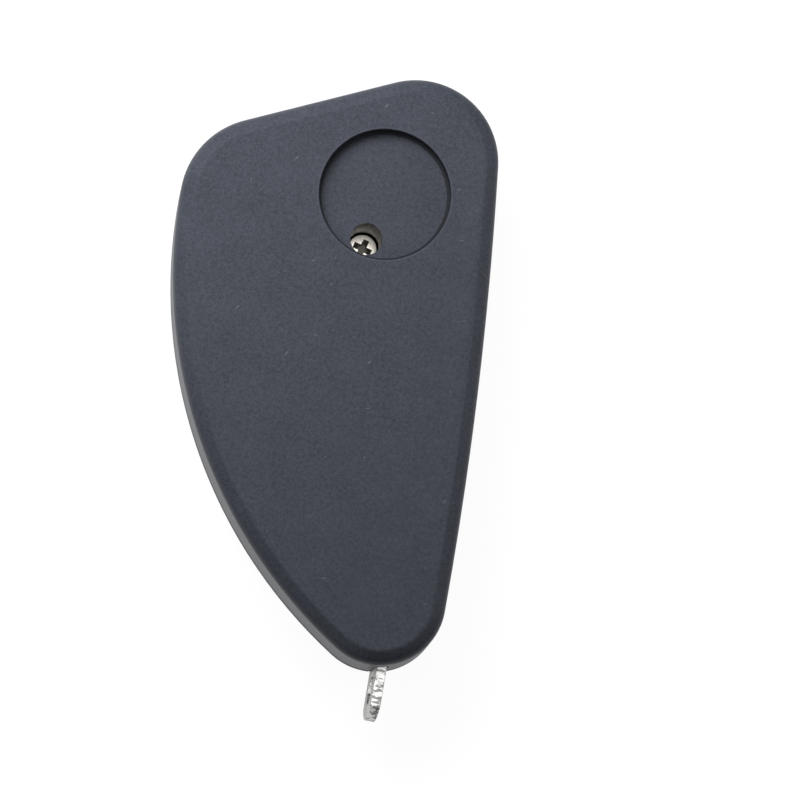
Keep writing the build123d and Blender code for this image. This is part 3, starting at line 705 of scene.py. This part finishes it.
class FLIPKEY_OT_eyelet(bpy.types.Operator):
    """Make the stamped key-ring eyelet, with its burnished cut edge"""

    bl_idname = "flipkey.eyelet"
    bl_label = "Key-ring eyelet"

    def execute(self, context):
        look = context.scene.flip_key_metal
        flat = plated_metal(
            "eyelet_flat", scaled(look.eyelet, 0.8), 0.5, 0.5 * MM, 0.02 * MM, tarnish=0.6, metallic=0.7
        )
        cut = plated_metal(
            "eyelet_cut_edge", look.eyelet, 0.4, 0.3 * MM, 0.01 * MM, stretch=(0.3, 1, 0.3), tarnish=0.1,
            metallic=0.8,
        )
        score(cut, 0.42 * MM, stretch=(0.35, 1, 0.35), threshold=0.49, colour=scaled(look.eyelet, 0.25))
        form = merged_copy("ring_eyelet")
        across = max(form.faces, key=lambda face: face.calc_area()).normal.copy()
        for face in form.faces:
            face.material_index = int(abs(face.normal.dot(across)) < 0.9)
        edge_round = look.edge_round * 1.4
        add_piece(form, "stamped_eyelet", "case", [flat, cut], ["ring_eyelet"], edge_round)
        return {"FINISHED"}


class FLIPKEY_OT_screw(bpy.types.Operator):
    """Turn the case screw, cut its cross recess and run its thread"""

    bl_idname = "flipkey.screw"
    bl_label = "Case screw"

    head_radius: FloatProperty(
        name="Head radius", description="Radius of the pan head", unit="LENGTH", default=1.83 * MM
    )
    head_height: FloatProperty(
        name="Head height", description="Height of the head above its seat", unit="LENGTH", default=1.5 * MM
    )
    head_round: FloatProperty(
        name="Head round", description="Round on the head's upper edge", unit="LENGTH", default=0.06 * MM
    )
    head_crown: FloatProperty(
        name="Head crown", description="Rise of the head's middle", unit="LENGTH", default=0.03 * MM
    )
    shank_radius: FloatProperty(
        name="Shank radius", description="Radius over the thread", unit="LENGTH", default=1.0 * MM
    )
    wing_length: FloatProperty(
        name="Cross length", description="Length of the cross recess", unit="LENGTH", default=3.0 * MM
    )
    wing_width: FloatProperty(
        name="Cross width", description="Width of the cross's wings", unit="LENGTH", default=0.92 * MM
    )
    core_radius: FloatProperty(
        name="Core radius", description="Radius of the cross's middle", unit="LENGTH", default=0.6 * MM
    )
    cross_depth: FloatProperty(
        name="Cross depth", description="Depth of the cross recess", unit="LENGTH", default=0.95 * MM
    )

    def head_profile(self, core, low, high):
        """Radius and height from the screw's tip up to the top of its pan head."""
        seat = high - self.head_height
        brow = high - self.head_crown
        radius = self.head_radius
        profile = [(0, low), (core * 0.55, low + 0.12 * MM), (core, low + 0.6 * MM)]
        profile += [(core, seat), (radius, seat)]
        round_steps = 6
        for step in range(round_steps + 1):
            angle = step * pi / 2 / round_steps
            inwards = self.head_round * (1 - cos(angle))
            downwards = self.head_round * (1 - sin(angle))
            profile.append((radius - inwards, brow - downwards))
        profile += [(radius * 0.35, high - self.head_crown * 0.2), (0, high)]
        return profile

    def thread(self, form, centre, core, low, top, look):
        """Add the thread, a ridge that is swept up the shank."""
        turn_steps = 14
        sunk = 0.02 * MM
        turns = (top - low) / look.thread_pitch
        half = look.thread_pitch * 0.3
        ridge = [
            form.verts.new((centre.x + core + reach, centre.y, low + rise))
            for reach, rise in ((-sunk, -half), (look.thread_depth, 0), (-sunk, half))
        ]
        section = form.faces.new(ridge)
        bmesh.ops.spin(
            form,
            geom=ridge + list(section.edges) + [section],
            cent=centre,
            axis=ABOVE,
            dvec=(0, 0, look.thread_pitch / turn_steps),
            angle=FULL_TURN * turns,
            steps=int(turn_steps * turns),
        )

    def cross_cutter(self, centre, high, turn):
        """Two crossed wings that narrow downwards, with a blunt cone between them."""
        cutter = bmesh.new()
        above = 0.4 * MM
        point_drop = 0.02 * MM
        foot_taper = (0.42, 0.62, 1)
        half_length = self.wing_length / 2
        half_width = self.wing_width / 2
        for quarter in (0, pi / 2):
            wing = box_between(
                cutter, (-half_length, -half_width, -self.cross_depth), (half_length, half_width, above)
            )
            foot = [corner for corner in wing if corner.co.z < 0]
            bmesh.ops.scale(cutter, vec=foot_taper, verts=foot)
            bmesh.ops.rotate(cutter, matrix=Matrix.Rotation(quarter, 3, "Z"), verts=wing)
        height = self.cross_depth + above
        core = bmesh.ops.create_cone(
            cutter,
            cap_ends=True,
            segments=16,
            radius1=self.core_radius * 0.4,
            radius2=self.core_radius,
            depth=height,
        )["verts"]
        bmesh.ops.translate(cutter, vec=(0, 0, above - height / 2 - point_drop), verts=core)
        placed = Matrix.Translation((centre.x, centre.y, high)) @ Matrix.Rotation(turn, 4, "Z")
        bmesh.ops.transform(cutter, matrix=placed, verts=cutter.verts)
        # The cutter's faces carry the cross's darker finish into the recess: painted shade
        for face in cutter.faces:
            face.material_index = 1
        return cutter

    def execute(self, context):
        look = context.scene.flip_key_metal
        low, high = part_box("case_screw")
        centre = Vector((*middle("case_screw").xy, 0))
        core = self.shank_radius - look.thread_depth
        nickel = plated_metal("screw_nickel", look.screw, 0.33, 0.5 * MM, 0.001 * MM, tarnish=0.08)
        # Painted shade: the cross recess gets a darker, duller copy of the nickel
        cross = plated_metal(
            "cross_shade", scaled(look.screw, 0.5), 0.6, 0.2 * MM, 0.01 * MM, tarnish=0.4, metallic=0.6
        )
        form = spun_form(self.head_profile(core, low.z, high.z), centre, segments=48)
        piece = add_piece(form, "cross_head_screw", "case", [nickel, cross], ["case_screw"])
        cut_from(piece, self.cross_cutter(centre, high.z, look.cross_turn))
        form = bmesh.new()
        form.from_mesh(piece.data)
        thread_low = low.z + 0.5 * MM
        thread_top = high.z - self.head_height - 0.2 * MM
        self.thread(form, centre, core, thread_low, thread_top, look)
        bmesh.ops.recalc_face_normals(form, faces=form.faces)
        shade(form)
        form.to_mesh(piece.data)
        form.free()
        return {"FINISHED"}


class FLIPKEY_OT_blade(bpy.types.Operator):
    """Make the blade, its carrier, cross pin and flip spring"""

    bl_idname = "flipkey.blade"
    bl_label = "Blade and carrier"

    def execute(self, context):
        look = context.scene.flip_key_metal
        blade = plated_metal("blade_plate", look.blade, 0.28, 0.22 * MM, 0.006 * MM, stretch=(1, 0.03, 1))
        pin = plated_metal(
            "pin_steel", scaled(look.blade, 0.85), 0.3, 0.2 * MM, 0.005 * MM, stretch=(1, 1, 0.05)
        )
        coil = plated_metal("spring_wire", scaled(look.blade, 0.6), 0.3, 0.15 * MM, 0.004 * MM)
        black = moulded_plastic("carrier_black", (0.017, 0.018, 0.02), 0.42, 0.12 * MM, 0.006 * MM)
        dress("key_blade", "blade_blank", "blade_unit", blade, look.edge_round)
        dress("blade_carrier", "carrier", "blade_unit", black)
        dress("blade_pin", "cross_pin", "blade_unit", pin)
        spring = dress("flip_spring", "coil_spring", "blade_unit", coil)
        squash_under(spring)
        return {"FINISHED"}


class FLIPKEY_OT_release(bpy.types.Operator):
    """Make the release button, with its ringed and dished face"""

    bl_idname = "flipkey.release"
    bl_label = "Release button"

    def execute(self, context):
        black = moulded_plastic(
            "button_black", (0.014, 0.0145, 0.016), 0.3, 0.1 * MM, 0.003 * MM, specular=0.5
        )
        form = merged_copy("release_button")
        groove = ((0.55, 0), (0.14, -0.14), (0.3, 0), (0.14, 0.14))
        dish = ((0.5, -0.05), (0.8, -0.1), (0.8, -0.07), (0.6, -0.02))
        steps = [(width * MM, rise * MM) for width, rise in groove + dish]
        step_in(form, lowest_face(form), steps)
        add_piece(form, "ringed_button", "release", [black], ["release_button"])
        return {"FINISHED"}


class FLIPKEY_OT_keys(bpy.types.Operator):
    """Make the crowned key caps with their icons, the plungers behind them and the rubber mat"""

    bl_idname = "flipkey.keys"
    bl_label = "Keys"

    def flat_shape(self, form, points, height=0):
        """Add a flat face from a few corners, in millimetres about the icon's centre."""
        return form.faces.new([form.verts.new((x * MM, y * MM, height * MM)) for x, y in points])

    def bow(self, form, centre, radius, stroke, sweep, steps=14):
        """Add a flat bow of a stroke's width, from the right of its centre through a sweep."""
        place = Vector((*centre, 0))
        reaches = (radius - stroke / 2, radius + stroke / 2)
        ends = [form.verts.new((place + Vector((reach, 0, 0))) * MM) for reach in reaches]
        geometry = ends + [form.edges.new(ends)]
        bmesh.ops.spin(form, geom=geometry, cent=place * MM, axis=ABOVE, angle=sweep, steps=steps)

    def padlock(self, form, is_open):
        """Draw a padlock: a body and a shackle, which is moved aside with one leg free when it is open."""
        body_top = 0.1
        free_end = 0.45
        shoulder = 0.62
        stroke = 0.34
        radius = 0.72
        shift = 2 * radius if is_open else 0
        self.flat_shape(form, ((-1.15, -1.5), (1.15, -1.5), (1.15, body_top), (-1.15, body_top)))
        for side in (-1, 1):
            low = free_end if is_open and side > 0 else body_top
            left = side * radius + shift - stroke / 2
            right = side * radius + shift + stroke / 2
            self.flat_shape(form, ((left, low), (right, low), (right, shoulder), (left, shoulder)))
        self.bow(form, (shift, shoulder), radius, stroke, sweep=pi)

    def car_with_open_boot(self, form):
        """Draw a car from the side with its boot lid raised."""
        body = (
            (-2.3, -0.8), (2.2, -0.8), (2.25, 0.0), (1.9, 0.15), (0.95, 0.2), (0.35, 0.85),
            (-0.75, 0.85), (-1.15, 0.2), (-2.2, 0.1),
        )
        lid = ((1.0, 0.42), (1.22, 0.3), (2.15, 1.15), (1.95, 1.3))
        self.flat_shape(form, body, height=-0.02)
        self.flat_shape(form, lid)
        for x in (-1.35, 1.3):
            self.bow(form, (x, -0.8), radius=0.24, stroke=0.42, sweep=FULL_TURN, steps=20)

    def raised_icon(self, name, top, look):
        """One icon, drawn flat about the origin, raised, and turned over onto a cap's crown."""
        form = bmesh.new()
        if name == "boot":
            self.car_with_open_boot(form)
        else:
            self.padlock(form, is_open=name == "unlock")
        bmesh.ops.remove_doubles(form, verts=form.verts, dist=MERGE_DISTANCE)
        thickness = look.icon_relief + look.crown
        sides = bmesh.ops.extrude_face_region(form, geom=form.faces[:])
        raised = [item for item in sides["geom"] if isinstance(item, bmesh.types.BMVert)]
        bmesh.ops.translate(form, vec=(0, 0, thickness), verts=raised)
        bmesh.ops.rotate(form, matrix=Matrix.Rotation(pi, 3, "Y"), verts=form.verts)
        bmesh.ops.rotate(form, matrix=Matrix.Rotation(-pi / 2, 3, "Z"), verts=form.verts)
        centre = middle(f"{name}_key")
        bmesh.ops.translate(form, vec=(centre.x, centre.y, top), verts=form.verts)
        bmesh.ops.recalc_face_normals(form, faces=form.faces)
        return form

    def execute(self, context):
        look = context.scene.flip_key_keys
        cap = moulded_plastic("key_cap", look.cap, 0.55, 0.14 * MM, 0.008 * MM)
        print_white = moulded_plastic("icon_print", look.icon, 0.5, 0.1 * MM, 0.003 * MM)
        nylon = moulded_plastic("plunger_nylon", (0.58, 0.53, 0.42), 0.45, 0.12 * MM, 0.004 * MM)
        crown = [
            (width * MM, look.crown * share)
            for width, share in ((0.35, 0.4), (0.35, 0.28), (0.4, 0.18), (0.4, 0.1), (0.35, 0.04))
        ]
        for name in ("lock", "unlock", "boot"):
            form = merged_copy(f"{name}_key")
            face = lowest_face(form)
            top = face.calc_center_median().z
            step_in(form, face, crown)
            add_piece(form, f"{name}_cap", name, [cap], [f"{name}_key"])
            add_piece(self.raised_icon(name, top, look), f"{name}_icon", name, [print_white])
            dress(f"{name}_plunger", f"{name}_stem", name, nylon, 0.06 * MM)
        rubber = soft_rubber("silicone", (0.042, 0.044, 0.048))
        mat = dress("key_mat", "silicone_mat", "case", rubber)
        squash_under(mat)
        return {"FINISHED"}


class FLIPKEY_OT_board(bpy.types.Operator):
    """Dress the circuit board, the switches and the parts on it"""

    bl_idname = "flipkey.board"
    bl_label = "Circuit board"

    leg_count: IntProperty(name="Legs a side", description="Legs along each side of the chip", default=6)
    leg_width: FloatProperty(
        name="Leg width", description="Width of one leg", unit="LENGTH", default=0.3 * MM
    )
    leg_reach: FloatProperty(
        name="Leg reach", description="How far the legs stand out", unit="LENGTH", default=0.55 * MM
    )
    leg_thickness: FloatProperty(
        name="Leg thickness", description="Thickness of one leg", unit="LENGTH", default=0.12 * MM
    )

    def chip_legs(self, low, high):
        """Rows of cranked legs along two sides of the chip."""
        form = bmesh.new()
        pitch = (high.y - low.y) / (self.leg_count + 0.5)
        half = self.leg_width / 2
        shoulder = (low.z + high.z) / 2
        for side, wall in ((-1, low.x), (1, high.x)):
            knee = wall + side * self.leg_reach * 0.35
            toe = wall + side * self.leg_reach
            for number in range(self.leg_count):
                y = (low.y + high.y) / 2 + (number - (self.leg_count - 1) / 2) * pitch
                for start, end, bottom, top in (
                    (wall, knee, shoulder, shoulder + self.leg_thickness),
                    (knee - side * self.leg_thickness, knee, low.z, shoulder),
                    (knee, toe, low.z, low.z + self.leg_thickness),
                ):
                    left, right = sorted((start, end))
                    box_between(form, (left, y - half, bottom), (right, y + half, top))
        return form

    def execute(self, context):
        green = solder_mask("solder_mask", (0.012, 0.085, 0.038), track_colour=(0.05, 0.19, 0.08))
        black = moulded_plastic("switch_black", (0.016, 0.016, 0.017), 0.45, 0.1 * MM, 0.004 * MM)
        resin = moulded_plastic("chip_resin", (0.014, 0.0145, 0.0155), 0.6, 0.08 * MM, 0.004 * MM)
        block = moulded_plastic("transponder_block", (0.02, 0.0205, 0.0225), 0.5, 0.2 * MM, 0.006 * MM)
        tinned = plated_metal("tinned_legs", (0.66, 0.66, 0.65), 0.3, 0.2 * MM, 0.004 * MM)
        can = plated_metal(
            "drawn_can", (0.56, 0.56, 0.55), 0.25, 0.3 * MM, 0.004 * MM, stretch=(1, 1, 0.1)
        )
        tiny_round = 0.06 * MM
        for node, name, slot, finish in (
            ("circuit_board", "remote_board", "board_green", green),
            ("lock_switch", "lock_switch_body", "switch_black", black),
            ("unlock_switch", "unlock_switch_body", "switch_black", black),
            ("boot_switch", "boot_switch_body", "switch_black", black),
            ("control_chip", "chip_body", "chip_resin", resin),
            ("resonator", "resonator_can", "can_steel", can),
            ("transponder", "transponder_wedge", "transponder_block", block),
        ):
            dress(node, name, "case", finish, tiny_round)
        low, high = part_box("control_chip")
        add_piece(self.chip_legs(low, high), "chip_legs", "case", [tinned])
        return {"FINISHED"}


class FLIPKEY_OT_cell(bpy.types.Operator):
    """Dress the coin cell and the two contacts that hold it"""

    bl_idname = "flipkey.cell"
    bl_label = "Coin cell"

    def execute(self, context):
        steel = plated_metal(
            "cell_steel", (0.6, 0.6, 0.59), 0.26, 0.25 * MM, 0.004 * MM, stretch=(1, 0.04, 1)
        )
        bronze = plated_metal(
            "contact_bronze", (0.62, 0.58, 0.5), 0.3, 0.2 * MM, 0.005 * MM, stretch=(0.05, 1, 1)
        )
        dress("coin_cell", "lithium_cell", "case", steel)
        for node, name in (("lower_contact", "lower_spring_strip"), ("upper_contact", "upper_strap")):
            dress(node, name, "case", bronze, 0.05 * MM)
        return {"FINISHED"}


class FLIPKEY_OT_stage(bpy.types.Operator):
    """Set the camera, the lamps, the sky and the floor"""

    bl_idname = "flipkey.stage"
    bl_label = "Stage"

    def camera(self, look, towards, up):
        """A camera that looks at its aim from a direction, with a direction up in its picture."""
        side = up.cross(towards).normalized()
        top = towards.cross(side)
        turn = Matrix((side, top, towards)).transposed().to_4x4()
        lens = bpy.data.cameras.new("camera")
        lens.lens = look.lens
        lens.sensor_width = 36
        lens.sensor_fit = "HORIZONTAL"
        lens.clip_start = 0.01
        camera = new_object("camera", lens)
        camera.matrix_world = Matrix.Translation(CAMERA_AIM + towards * look.distance) @ turn
        return camera

    def lamp(self, name, place, aim, size, power):
        """A square soft lamp that looks at a point."""
        light = bpy.data.lights.new(name, "AREA")
        light.shape = "SQUARE"
        light.size = size
        light.energy = power
        holder = new_object(name, light)
        holder.location = place
        holder.rotation_euler = (aim - place).to_track_quat("-Z", "Y").to_euler()
        holder.visible_camera = False

    def glint_lamp(self, camera, look):
        """A small lamp where the screw's head mirrors the camera's line of sight."""
        distance = 0.3
        screw = Vector((*middle("case_screw").xy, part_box("case_screw")[1].z))
        sight = (camera.matrix_world.translation - screw).normalized()
        mirrored = Vector((-sight.x, -sight.y, sight.z))
        self.lamp("glint_lamp", screw + mirrored * distance, screw, look.glint_size, look.glint_power)

    def seen_rays(self, tree):
        """The kinds of ray, and 1 for those that the camera sends straight or through glass."""
        path = add_node(tree, "ShaderNodeLightPath").outputs
        return path, arithmetic(tree, "MAXIMUM", path["Is Camera Ray"], path["Is Transmission Ray"])

    def sky(self, ambient, ceiling):
        """White to the camera, a bright ceiling over dim walls in what shines, and dim for the rest."""
        world = bpy.data.worlds.new("studio")
        bpy.context.scene.world = world
        world.use_nodes = True
        tree = world.node_tree
        background = tree.nodes["Background"]
        path, seen = self.seen_rays(tree)
        way = add_node(tree, "ShaderNodeTexCoord").outputs["Generated"]
        walls = 0.2
        room = spread(tree, height_of(tree, way), 0.35, 0.95, walls, ceiling)
        mirrored = product(tree, path["Is Glossy Ray"], room)
        strength = arithmetic(tree, "MAXIMUM", arithmetic(tree, "MAXIMUM", mirrored, seen), ambient)
        tree.links.new(strength, background.inputs["Strength"])
        background.inputs["Color"].default_value = (1, 1, 1, 1)

    def floor(self, colour):
        """A wide pale floor that shows white, with the shadow left on it."""
        seen_white = 0.9
        mirrored_white = 0.7
        finish, tree, shader = new_finish("pale_floor", colour, roughness=0.9, specular=0.0)
        path, seen = self.seen_rays(tree)
        seen = product(tree, seen, seen_white)
        seen = arithmetic(tree, "MAXIMUM", seen, product(tree, path["Is Glossy Ray"], mirrored_white))
        white = add_node(tree, "ShaderNodeEmission", {"Strength": 1.06})
        both = add_node(tree, "ShaderNodeMixShader", {"Fac": seen})
        tree.links.new(shader.outputs[0], both.inputs[1])
        tree.links.new(white.outputs[0], both.inputs[2])
        tree.links.new(both.outputs[0], tree.nodes["Material Output"].inputs["Surface"])
        form = bmesh.new()
        bmesh.ops.create_grid(form, x_segments=8, y_segments=8, size=3)
        floor = object_from(form, "floor")
        floor.data.materials.append(finish)

    def execute(self, context):
        scene = context.scene
        look = scene.flip_key_stage
        right = Vector((cos(look.roll), sin(look.roll), 0))
        up = Vector((-sin(look.roll), cos(look.roll), 0))
        towards = (ABOVE - right * tan(look.lean_left) - up * tan(look.lean_down)).normalized()
        scene.camera = self.camera(look, towards, up)
        for name, across, along, height, size, power in (
            ("key_lamp", -0.05, 0.122, 0.14, look.key_size, look.key_power),
            ("fill_lamp", -0.12, 0.09, 0.115, look.side_size, look.fill_power),
            ("rim_lamp", 0.24, 0.04, 0.06, look.side_size, look.rim_power),
        ):
            place = CAMERA_AIM + right * across + up * along + ABOVE * height
            self.lamp(name, place, CAMERA_AIM, size, power)
        self.glint_lamp(scene.camera, look)
        self.sky(look.ambient, look.ceiling)
        self.floor(look.floor)
        scene.view_settings.view_transform = "Standard"
        return {"FINISHED"}


class FLIPKEY_PT_panel(bpy.types.Panel):
    """Lists the key's pieces and their sizes"""

    bl_label = "Flip Key"
    bl_idname = "FLIPKEY_PT_panel"
    bl_space_type = "VIEW_3D"
    bl_region_type = "UI"
    bl_category = "Flip Key"

    def draw(self, context):
        for title, group, names in (
            ("Case", context.scene.flip_key_case, ("covers",)),
            ("Metal", context.scene.flip_key_metal, ("eyelet", "screw", "blade", "cell")),
            ("Keys", context.scene.flip_key_keys, ("release", "keys", "board")),
            ("Stage", context.scene.flip_key_stage, ("stage",)),
        ):
            box = self.layout.box()
            box.label(text=title)
            for name in group.__annotations__:
                box.prop(group, name)
            for name in names:
                box.operator(f"flipkey.{name}")


groups = {
    "flip_key_case": FlipKeyCase,
    "flip_key_metal": FlipKeyMetal,
    "flip_key_keys": FlipKeyKeys,
    "flip_key_stage": FlipKeyStage,
}
classes = (
    *groups.values(),
    FLIPKEY_OT_covers,
    FLIPKEY_OT_eyelet,
    FLIPKEY_OT_screw,
    FLIPKEY_OT_blade,
    FLIPKEY_OT_release,
    FLIPKEY_OT_keys,
    FLIPKEY_OT_board,
    FLIPKEY_OT_cell,
    FLIPKEY_OT_stage,
    FLIPKEY_PT_panel,
)


def register():
    for kind in classes:
        bpy.utils.register_class(kind)
    for name, group in groups.items():
        setattr(bpy.types.Scene, name, PointerProperty(type=group))


def unregister():
    for name in groups:
        delattr(bpy.types.Scene, name)
    for kind in reversed(classes):
        bpy.utils.unregister_class(kind)


def main():
    """Make every piece and the stage."""
    register()
    bpy.ops.flipkey.covers()
    bpy.ops.flipkey.eyelet()
    bpy.ops.flipkey.screw()
    bpy.ops.flipkey.blade()
    bpy.ops.flipkey.release()
    bpy.ops.flipkey.keys()
    bpy.ops.flipkey.board()
    bpy.ops.flipkey.cell()
    bpy.ops.flipkey.stage()


if __name__ == "__main__":
    main()
